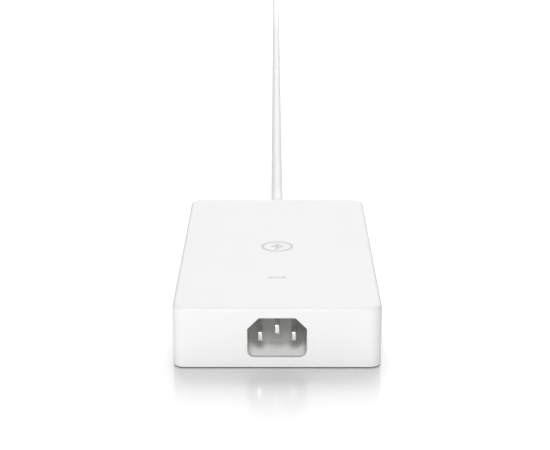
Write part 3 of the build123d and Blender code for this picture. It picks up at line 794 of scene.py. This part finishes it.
# ---- mains inlet
@dataclass
class MainsInlet:
    """The mains inlet: a moulded socket behind the case's mouth, with three flat pins."""

    mouth_width: float = 24.5 * MM
    mouth_height: float = 17.1 * MM
    mouth_z: float = 13.4 * MM
    corner_cut: float = 4.7 * MM
    corner_round: float = 3.0 * MM
    wall: float = 1.6 * MM
    back: float = 4.0 * MM
    draft: float = 0.985
    back_round: float = 0.5 * MM
    block_inset: float = 1.2 * MM
    pin_height: float = 4.0 * MM
    pin_tail: float = 1.6 * MM
    pin_tip_round: float = 0.45 * MM
    pin_ease: float = 0.22 * MM

    def socket(self) -> Thing:
        """Shapes the mouth, thickens it into a cup, and adds the terminal block behind."""
        low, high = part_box("inlet_body")
        half_w, half_h = self.mouth_width / 2, self.mouth_height / 2
        cup_back = high.y - self.back
        cup = Workpiece.block(
            "inlet_socket",
            (-half_w, low.y, self.mouth_z - half_h),
            (half_w, cup_back, self.mouth_z + half_h),
        )
        cup.pick(Kind.EDGES, lambda e: running(1)(e) and centre_of(e).z > self.mouth_z)
        cup.bevel(self.corner_cut, 1)
        floor = self.mouth_z - half_h * 0.9
        cup.pick(Kind.EDGES, lambda e: running(1)(e) and centre_of(e).z < floor)
        cup.bevel(self.corner_round, 8)
        # draft, so that the cup narrows a little towards its back
        cup.pick(Kind.FACES, facing(1, 1))
        cup.resize((self.draft, 1.0, self.draft), (0.0, cup_back, self.mouth_z))
        cup.pick(Kind.EDGES, ends_at(1, cup_back))
        cup.bevel(self.back_round)
        cup.pick(Kind.FACES, facing(1, -1))
        cup.drop()
        cup.modify("SOLIDIFY", thickness=self.wall, offset=1.0, use_even_offset=True)
        # terminal block on the back
        rear = cup_back + self.wall / 2
        cup.pick(Kind.FACES, lambda f: facing(1, 1)(f) and f.calc_center_median().y > rear)
        cup.inset(self.block_inset)
        cup.extrude((0.0, high.y - cup_back - self.wall, 0.0))
        return cup.finish()

    def pin(self, node: str) -> Thing:
        """Shapes one pin: a blade with an eased tip, and a tail down to the board."""
        low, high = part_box(node)
        blade_low = high.z - self.pin_height
        piece = Workpiece.block(f"{node}_blade", (low.x, low.y, blade_low), tuple(high))
        tail_front = high.y - self.pin_tail
        piece.cut(1, tail_front)
        piece.pick(
            Kind.FACES, lambda f: facing(2, -1)(f) and f.calc_center_median().y > tail_front
        )
        piece.extrude((0.0, 0.0, low.z - blade_low))
        piece.pick(Kind.EDGES, ends_at(1, low.y))
        piece.bevel(self.pin_tip_round)
        piece.soften(self.pin_ease, 3)
        return piece.finish()

    def build(self, paint: Paintbox) -> Thing:
        """Makes the socket, which it returns, and the pins."""
        socket = self.socket()
        hand_over(socket, paint, Finish.INLET, "injector", "inlet_plastic", "inlet_body")
        for node in ("line_pin", "neutral_pin", "earth_pin"):
            hand_over(self.pin(node), paint, Finish.PLATED_PIN, "injector", "plated_pin", node)
        return socket


# ---- feet
@dataclass
class Feet:
    """Four round rubber feet, each with a dished sole."""

    radius: float = 5.0 * MM
    across: float = 35.5 * MM
    apart: float = 71.5 * MM
    edge_round: float = 0.3 * MM
    border: float = 1.0 * MM
    slope: float = 0.3 * MM
    dish: float = 0.25 * MM

    def foot(self, name: str, x: float, y: float, height: float) -> Workpiece:
        """Shapes one foot."""
        piece = Workpiece.rod(name, (x, y, height / 2), self.radius, height, Along.Z, 48)
        piece.pick(Kind.EDGES, ends_at(2, 0.0))
        piece.bevel(self.edge_round, 4)
        sole = NEAR / 10
        piece.pick(Kind.FACES, lambda f: facing(2, -1)(f) and f.calc_center_median().z < sole)
        piece.inset(self.border)
        piece.inset(self.slope)
        piece.shift((0.0, 0.0, self.dish))
        piece.select()
        return piece

    def build(self, paint: Paintbox) -> None:
        """Makes the feet as one set."""
        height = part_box("rubber_feet")[1].z
        places = [(sx * self.across, sy * self.apart) for sx in (-1, 1) for sy in (-1, 1)]
        feet = [self.foot(f"foot_{i}", x, y, height) for i, (x, y) in enumerate(places)]
        feet[0].join(*feet[1:])
        whole = feet[0].finish()
        whole.name = whole.data.name = "feet_set"
        hand_over(whole, paint, Finish.FOOT, "injector", "rubber", "rubber_feet")


# ---- network jacks
@dataclass
class NetworkJack:
    """One network jack: a folded tin shield round its housing, and eight sprung contact wires."""

    name: str
    lifted: bool
    sheet: float = 0.3 * MM
    border: float = 1.3 * MM
    pitch: float = 1.02 * MM
    contacts: int = 8
    wire: float = 0.22 * MM
    fold_round: float = 0.25 * MM
    bends: int = 6
    curl: float = 1.4

    def shield(self) -> Thing:
        """Folds the shield: open at the board, with a window in its face."""
        low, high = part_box(f"{self.name}_shield")
        box = Workpiece.block(f"{self.name}_can", tuple(low), tuple(high))
        box.pick(Kind.FACES, facing(1, 1))
        box.inset(self.border)
        box.drop()
        box.pick(Kind.FACES, facing(2, -1))
        box.drop()
        box.modify("SOLIDIFY", thickness=self.sheet, offset=-1.0, use_even_offset=True)
        box.pick(Kind.EDGES, lambda e: ends_at(2, high.z)(e) and running(1)(e))
        box.bevel(self.fold_round)
        return box.finish()

    def wires(self) -> Thing:
        """Bends one contact wire and repeats it."""
        low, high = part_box(f"{self.name}_contacts")
        length = high.y - low.y
        middle = (low.x + self.wire, (low.y + high.y) / 2, low.z + self.wire)
        rod = Workpiece.rod(f"{self.name}_wires", middle, self.wire * 0.9, length, Along.Y, 12)
        stations = [low.y + length * i / self.bends for i in range(self.bends)]
        rod.cut(1, *stations[1:])
        rise = high.z - low.z - 2 * self.wire
        for i, y in enumerate(stations):
            rod.pick(Kind.CORNERS, at(1, y))
            rod.shift((0.0, 0.0, rise * (1 - i / self.bends) ** self.curl))
        rod.repeat(self.contacts, (self.pitch, 0.0, 0.0))
        return rod.finish()

    def build(self, paint: Paintbox) -> None:
        """Makes the shield, and the wires where no plug covers them."""
        shield, contacts = f"{self.name}_shield", f"{self.name}_contacts"
        hand_over(self.shield(), paint, Finish.SHIELD, "injector", "jack_shield", shield)
        if self.lifted:
            hand_over(self.wires(), paint, Finish.GOLD, "injector", "gold_contact", contacts)


# ---- plugs
@dataclass
class Plug:
    """One end of the patch cord: clear body, blades, cores, sprung latch and ribbed boot.

    Each piece is shaped about the plug's nose, cord end towards +Y and latch up, then placed.
    """

    name: str
    nose: Point
    width: float = 11.7 * MM
    height: float = 6.6 * MM
    length: float = 21.5 * MM
    slot_width: float = 0.35 * MM
    slot_front: float = 0.6 * MM
    slot_length: float = 6.0 * MM
    slot_depth: float = 2.5 * MM
    nose_round: float = 0.5 * MM
    pitch: float = 1.02 * MM
    contacts: int = 8
    blade_gap: float = 0.01 * MM
    blade_round: float = 0.6 * MM
    bar_front: float = 11.0 * MM
    bar_back: float = 14.5 * MM
    bar_side: float = 3.6 * MM
    bar_depth: float = 1.3 * MM
    core_front: float = 1.4 * MM
    core_back: float = 13.5 * MM
    core_radius: float = 0.46 * MM
    core_layer: float = 0.7 * MM
    core_gather: float = 0.55
    lever_width: float = 6.0 * MM
    lever_length: float = 19.0 * MM
    lever_root: float = 1.3 * MM
    lever_tilt: float = 7.0
    lever_waist: float = 0.58
    lever_tip_round: float = 0.3 * MM
    lever_ease: float = 0.12 * MM
    hinge_radius: float = 0.5 * MM
    boot_length: float = 24.0 * MM
    boot_round: float = 2.2 * MM
    boot_ease: float = 0.18 * MM
    cord_end: float = 3.7 * MM
    ribs: int = 6
    groove: float = 0.9 * MM
    groove_depth: float = 0.55 * MM

    def contact_x(self, i: int) -> float:
        """How far across the plug one contact is."""
        return (i - (self.contacts - 1) / 2) * self.pitch

    def body(self) -> Thing:
        """Shapes the clear body: a comb of slots under its nose, and a pressed bar on its top."""
        half_w, half_h = self.width / 2, self.height / 2
        block = Workpiece.block(
            f"{self.name}_plug_shell", (-half_w, 0.0, -half_h), (half_w, self.length, half_h)
        )
        block.pick(Kind.EDGES, lambda e: running(2)(e) and ends_at(1, 0.0)(e))
        block.bevel(self.nose_round)
        slot_back = self.slot_front + self.slot_length
        half_slot = self.slot_width / 2
        middles = [self.contact_x(i) for i in range(self.contacts)]
        sides = [x + side * half_slot for x in middles for side in (-1, 1)]
        block.cut(0, *sides, -self.bar_side, self.bar_side)
        block.cut(1, self.slot_front, slot_back, self.bar_front, self.bar_back)

        def over_slot(face: Element) -> bool:
            """A test for the faces under which the blades stand."""
            middle = face.calc_center_median()
            beside = min(abs(middle.x - x) for x in middles)
            in_row = self.slot_front < middle.y < slot_back
            return facing(2, -1)(face) and in_row and beside < half_slot / 2

        def over_bar(face: Element) -> bool:
            """A test for the face that is pressed down onto the cord."""
            middle = face.calc_center_median()
            in_bar = self.bar_front < middle.y < self.bar_back and abs(middle.x) < self.bar_side
            return facing(2, 1)(face) and in_bar

        block.pick(Kind.FACES, over_slot)
        block.extrude((0.0, 0.0, self.slot_depth))
        block.pick(Kind.FACES, over_bar)
        block.extrude((0.0, 0.0, -self.bar_depth))
        return self._placed(block, 30.0)

    def blades(self) -> Thing:
        """Shapes one contact blade and repeats it."""
        x = self.contact_x(0)
        half, gap = self.slot_width / 2 - self.blade_gap, 2 * self.blade_gap
        bottom = -self.height / 2
        edge = bottom + 0.1 * MM
        blade = Workpiece.block(
            f"{self.name}_plug_blades",
            (x - half, self.slot_front + gap, edge),
            (x + half, self.slot_front + self.slot_length - gap, bottom + self.slot_depth),
        )
        blade.pick(Kind.EDGES, lambda e: running(0)(e) and ends_at(2, edge)(e))
        blade.bevel(self.blade_round, 4)
        blade.repeat(self.contacts, (self.pitch, 0.0, 0.0))
        return self._placed(blade, 30.0)

    def core(self, i: int) -> Thing:
        """Shapes one insulated core, from the jacket's end forward over its blade."""
        front, back = self.core_front, self.core_back
        middle = (0.0, (front + back) / 2, 0.0)
        rod = Workpiece.rod(
            f"{self.name}_core_{i}", middle, self.core_radius, back - front, Along.Y, 12
        )
        stations = [front + (back - front) * part for part in (0.0, 0.4, 0.6, 0.8, 1.0)]
        rod.cut(1, *stations[1:-1])
        row_z = -self.height / 2 + self.slot_depth + 0.5 * MM
        side = -1 if i % 2 else 1
        for y in stations:
            gather = max(0.0, (y - stations[1]) / (back - stations[1]))
            x = self.contact_x(i) * (1 - self.core_gather * gather)
            z = row_z * (1 - gather) + side * self.core_layer * gather
            rod.pick(Kind.CORNERS, at(1, y))
            rod.shift((x, 0.0, z))
        return self._placed(rod, 50.0)

    def latch(self) -> Thing:
        """Shapes the lever: a thin sprung tongue with shoulders, narrower towards its thumb end."""
        half, root_z = self.lever_width / 2, self.height / 2 - 0.1 * MM
        low_z, high_z = root_z + 0.3 * MM, root_z + 1.1 * MM
        end = self.lever_root + self.lever_length - 0.2 * MM
        lever = Workpiece.block(
            f"{self.name}_plug_lever", (-half, self.lever_root, low_z), (half, end, high_z)
        )
        stations = [self.lever_root + d * MM for d in (1.0, 7.6, 8.1, 12.0, 16.5)]
        lever.cut(1, *stations)
        lever.pick(Kind.CORNERS, lambda v: v.co.y > stations[2] - 0.1 * MM)
        lever.resize((self.lever_waist, 1.0, 1.0), (0.0, 0.0, 0.0))
        slope = math.tan(math.radians(self.lever_tilt))
        for y in [*stations, end]:
            lever.pick(Kind.CORNERS, at(1, y))
            lever.shift((0.0, 0.0, (y - stations[0]) * slope * 0.97))
        lever.pick(Kind.EDGES, lambda e: running(0)(e) and ends_at(1, end)(e))
        lever.bevel(self.lever_tip_round)
        lever.soften(self.lever_ease)
        root = (0.0, self.lever_root, root_z)
        hinge = Workpiece.rod(
            f"{self.name}_root", root, self.hinge_radius, self.lever_width, Along.X, 24
        )
        lever.join(hinge)
        return self._placed(lever, 35.0)

    def boot(self) -> Thing:
        """Draws the boot out from the plug: a smooth collar, then ribs that taper to the cord."""
        half_w, half_h = self.width / 2 - 0.2 * MM, self.height / 2 - 0.1 * MM
        y = self.length + 1.2 * MM
        boot = Workpiece.block(
            f"{self.name}_plug_sleeve", (-half_w, self.length, -half_h), (half_w, y, half_h)
        )
        boot.pick(Kind.EDGES, running(1))
        boot.bevel(self.boot_round, 7)
        boot.pick(Kind.FACES, facing(1, 1))
        wide, tall = half_w, half_h
        collar = [(2.0, 0.99, 1.03), (2.4, 0.96, 1.04), (2.4, 0.94, 1.01)]
        for dy, fx, fz in collar:
            wide, tall, y = wide * fx, tall * fz, y + dy * MM
            self._ring(boot, dy * MM, fx, fz, y)
        left = self.length + self.boot_length - y
        ridge = (left - self.ribs * self.groove) / (self.ribs + 1)
        taper = 1 / (self.ribs + 1)
        fx, fz = (self.cord_end / wide) ** taper, (self.cord_end / tall) ** taper
        for rib in range(self.ribs + 1):
            wide, tall, y = wide * fx, tall * fz, y + ridge
            self._ring(boot, ridge, fx, fz, y)
            if rib == self.ribs:
                break
            down_x, down_z = 1 - self.groove_depth / wide, 1 - self.groove_depth / tall
            self._ring(boot, 0.0, down_x, down_z, y)
            y += self.groove
            self._ring(boot, self.groove, 1.0, 1.0, y)
            self._ring(boot, 0.0, 1 / down_x, 1 / down_z, y)
        boot.soften(self.boot_ease)
        return self._placed(boot, 32.0)

    def _ring(self, piece: Workpiece, dy: float, across: float, up: float, y: float) -> None:
        """Extrudes the picked end by a distance, and scales it about the plug's axis."""
        piece.extrude((0.0, dy, 0.0))
        piece.resize((across, 1.0, up), (0.0, y, 0.0))

    def _placed(self, piece: Workpiece, sharp: float) -> Thing:
        """Moves a piece from the plug's own frame to its place, and finishes it."""
        piece.place(self.nose)
        return piece.finish(sharp)

    def build(self, paint: Paintbox) -> list[Thing]:
        """Makes the plug.

        Args:
            paint: gives the materials.

        Returns:
            The pieces that lie on the cord.
        """
        end = self.name
        jobs = [
            (self.body, Finish.CLEAR, "patch_cord", "plug_clear", f"{end}_plug_body"),
            (self.blades, Finish.GOLD, "patch_cord", "gold_contact", f"{end}_plug_contacts"),
            (self.latch, Finish.CLEAR, f"{end}_latch", "plug_clear", f"{end}_plug_latch"),
            (self.boot, Finish.BOOT, "patch_cord", "cord_white", f"{end}_plug_boot"),
        ]
        made = []
        for shape, finish, body, slot, node in jobs:
            thing = shape()
            hand_over(thing, paint, finish, body, slot, node)
            made.append(thing)
        for i, finish in enumerate(CORE_ORDER):
            thing = self.core(i)
            hand_over(thing, paint, finish, "patch_cord", "cord_white")
            made.append(thing)
        return made


# ---- patch cord
@dataclass
class PatchCord:
    """The cord from the near plug's boot to the far plug's, with its length put away in a coil."""

    radius: float = 3.0 * MM
    floor_z: float = 3.05 * MM
    boot_end: float = 112.2 * MM
    plug_z: float = 12.1 * MM
    coil_x: float = -42.5 * MM
    coil_y: float = 969.0 * MM
    outer_turn: float = 39.0 * MM
    inner_turn: float = 33.0 * MM
    turns: int = 2
    per_turn: int = 14
    far_z: float = 3.9 * MM
    length: float = 1.41

    def run_points(self) -> list[Point]:
        """The stretch from the near boot to the coil."""
        y, floor = self.boot_end, self.floor_z
        return [
            (0.0, y, self.plug_z),
            (0.0, y + 0.017, self.plug_z),
            (-0.0002, y + 0.052, floor),
            (-0.0014, self.coil_y - 0.050, floor),
            (-0.0030, self.coil_y - 0.015, floor),
        ]

    def coil_points(self) -> list[Point]:
        """Two flat turns, the second inside the first."""
        points = []
        steps = self.turns * self.per_turn
        for step in range(steps):
            angle = 2 * math.pi * step / self.per_turn
            inwards = min(1.0, 2 * (step / steps))
            radius = self.outer_turn + (self.inner_turn - self.outer_turn) * inwards
            x = self.coil_x + radius * math.cos(angle)
            y = self.coil_y + radius * math.sin(angle)
            points.append((x, y, self.floor_z))
        return points

    def tail_points(self) -> list[Point]:
        """Out over the outer turn, down beside the coil and round to the far boot."""
        x, y = self.coil_x, self.coil_y
        return [
            (x + 0.0325, y + 0.0057, self.floor_z),
            (x + 0.0257, y + 0.0215, 0.0060),
            (x + 0.0113, y + 0.0347, 0.0094),
            (x - 0.0074, y + 0.0419, 0.0094),
            (x - 0.0279, y + 0.0371, 0.0060),
            (x - 0.0422, y + 0.0234, self.far_z),
            (x - 0.0490, y + 0.0075, self.far_z),
            (x - 0.0490, y - 0.0085, self.far_z),
        ]

    def build(self, paint: Paintbox, on_it: list[Thing]) -> Thing:
        """Args:
            paint: gives the jacket's material.
            on_it: the separate pieces that lie on the cord; not used.

        Returns:
            The cord.
        """
        points = self.run_points() + self.coil_points() + self.tail_points()
        curve = bpy.data.curves.new("patch_cord", "CURVE")
        curve.dimensions = "3D"
        spline = curve.splines.new("NURBS")
        spline.points.add(len(points) - 1)
        for knot, place in zip(spline.points, points):
            knot.co = (*place, 1.0)
        spline.order_u = 3
        spline.use_endpoint_u = True
        spline.resolution_u = 12
        curve.bevel_depth = self.radius
        curve.bevel_resolution = 6
        curve.use_fill_caps = True
        cord = stand("patch_cord", curve)
        paint.dress(cord, Finish.CORD)
        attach(cord, "patch_cord")
        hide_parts("cord_run", "cord_coil", "cord_tail")
        return cord


# ---- studio
class Reach(Enum):
    """What a lamp's links mean."""

    ONLY = "INCLUDE"
    ALL_BUT = "EXCLUDE"


class Surround(Graph):
    """The studio's surround: the light that comes from each direction."""

    def __init__(self, name: str) -> None:
        """Makes a world whose shader is its Background.

        Args:
            name: the world's name.
        """
        self.world = bpy.data.worlds.new(name)
        self.world.use_nodes = True
        self.tree = self.world.node_tree
        self.shader = self.tree.nodes["Background"]

    def direction(self) -> tuple[Val, Val, Val]:
        """The direction looked in, as three values."""
        return self.parts(self.node("ShaderNodeTexCoord").outputs["Generated"])


@dataclass(frozen=True)
class Softbox:
    """A square lamp that points at a place.

    Its bearing is 0 in front of the object (-Y) and 180 behind, and its height is above the
    horizon, both in degrees. Its distance and side are in metres, and its power in watts.
    """

    name: str
    aim: Point
    bearing: float
    height: float
    distance: float
    side: float
    power: float
    glossy: bool = False

    def place(self) -> Thing:
        """Adds the lamp, unseen by the camera, and seen in reflections only if it is glossy."""
        data = bpy.data.lights.new(self.name, "AREA")
        data.size = self.side
        data.energy = self.power
        lamp = stand(self.name, data)
        bearing, height = math.radians(self.bearing), math.radians(self.height)
        level = self.distance * math.cos(height)
        up = self.distance * math.sin(height)
        offset = Vector((level * math.sin(bearing), -level * math.cos(bearing), up))
        lamp.location = Vector(self.aim) + offset
        lamp.rotation_euler = offset.to_track_quat("Z", "Y").to_euler()
        lamp.visible_camera = False
        lamp.visible_glossy = self.glossy
        return lamp


@dataclass
class Studio:
    """The floor, the light and the camera."""

    eye: Point = (0.0, -0.6582, 0.2427)
    pitch: float = 17.317
    yaw: float = 0.087
    lens: float = 98.84
    floor_size: float = 40.0
    behind: float = 1.86
    in_front: float = 0.45
    left_flag: tuple[float, float] = (0.05, 0.55)
    right_flag: tuple[float, float] = (0.15, 0.7)
    flag_top: tuple[float, float] = (0.4, 0.9)
    face: Softbox = Softbox(
        "face_softbox", (0.0, -0.08, 0.015), -12.0, 14.0, 1.3, 0.6, 10.4, True
    )
    key: Softbox = Softbox("inlet_key", (0.0, -0.07, 0.012), 0.0, 45.0, 0.5, 0.2, 3.8)
    wash: Softbox = Softbox("floor_wash", (0.0, 0.1, 0.0), 180.0, 50.0, 2.2, 1.2, 21.0)
    pool_place: Point = (0.0, 0.84, 1.0)
    pool_angle: float = 17.0
    pool_power: float = 8.0

    def camera(self) -> None:
        """Places the camera in front of the inlet end, looking slightly down."""
        data = bpy.data.cameras.new("camera")
        data.lens = self.lens
        data.sensor_width = SENSOR_WIDTH
        camera = stand("camera", data)
        camera.location = self.eye
        camera.rotation_euler = (math.radians(90 - self.pitch), 0.0, math.radians(self.yaw))
        bpy.context.scene.camera = camera

    def floor(self) -> Thing:
        """Lays a large glossy white floor."""
        bpy.ops.object.select_all(action="DESELECT")
        bpy.ops.mesh.primitive_plane_add(size=self.floor_size)
        floor = bpy.context.object
        floor.name = "floor"
        g = Graph("studio_floor")
        g.set(Base_Color=(0.98, 0.98, 0.98), Roughness=0.2, Specular_IOR_Level=0.4)
        floor.data.materials.append(g.material)
        return floor

    def surround(self) -> None:
        """Sets a white surround, bright behind, with a dark flag on each side."""
        g = Surround("surround")
        x, y, z = g.direction()
        back = y.ramp(-0.5, 0.5)
        flags = x.ramp(*self.right_flag) + (0 - x).ramp(*self.left_flag)
        low = 1 - z.ramp(*self.flag_top)
        strength = back * (self.behind - self.in_front) + self.in_front
        g.set(Color=(1.0, 1.0, 1.0), Strength=strength * (1 - flags * low))
        bpy.context.scene.world = g.world
        bpy.context.scene.view_settings.view_transform = "Standard"

    def limit(self, lamp: Thing, things: list[Thing], reach: Reach) -> None:
        """Links a lamp to the things that it lights, or keeps it off them."""
        linked = bpy.data.collections.new(f"{lamp.name}_links")
        for thing in things:
            linked.objects.link(thing)
        for entry in linked.collection_objects:
            entry.light_linking.link_state = reach.value
        lamp.light_linking.receiver_collection = linked

    def lamps(self, floor: Thing, socket: Thing) -> None:
        """Adds the lamps.

        Args:
            floor: the floor, which has a lamp of its own.
            socket: the inlet's socket, which has a lamp of its own.
        """
        self.limit(self.face.place(), [floor, socket], Reach.ALL_BUT)
        self.limit(self.key.place(), [socket], Reach.ONLY)
        self.limit(self.wash.place(), [floor], Reach.ONLY)
        pool = bpy.data.lights.new("far_pool", "SPOT")
        pool.energy = self.pool_power
        pool.spot_size = math.radians(self.pool_angle)
        pool.spot_blend = 1.0
        pool.shadow_soft_size = 0.02
        stand("far_pool", pool).location = self.pool_place

    def build(self) -> Thing:
        """Sets up the camera, the surround and the floor, which it returns."""
        self.camera()
        self.surround()
        return self.floor()


def main() -> None:
    """Builds the pieces in order."""
    logging.basicConfig(level=logging.INFO)
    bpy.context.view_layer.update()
    paint = Paintbox()
    studio = Studio()
    floor = studio.build()
    near = Plug("near", (0.0, 66.7 * MM, 12.1 * MM))
    far = Plug("far", (-91.5 * MM, 915.0 * MM, 3.9 * MM))
    PatchCord().build(paint, near.build(paint) + far.build(paint))
    socket = MainsInlet().build(paint)
    Feet().build(paint)
    NetworkJack("poe_jack", False).build(paint)
    NetworkJack("data_jack", True).build(paint)
    paint.dress_nodes()
    studio.lamps(floor, socket)


if __name__ == "__main__":
    main()
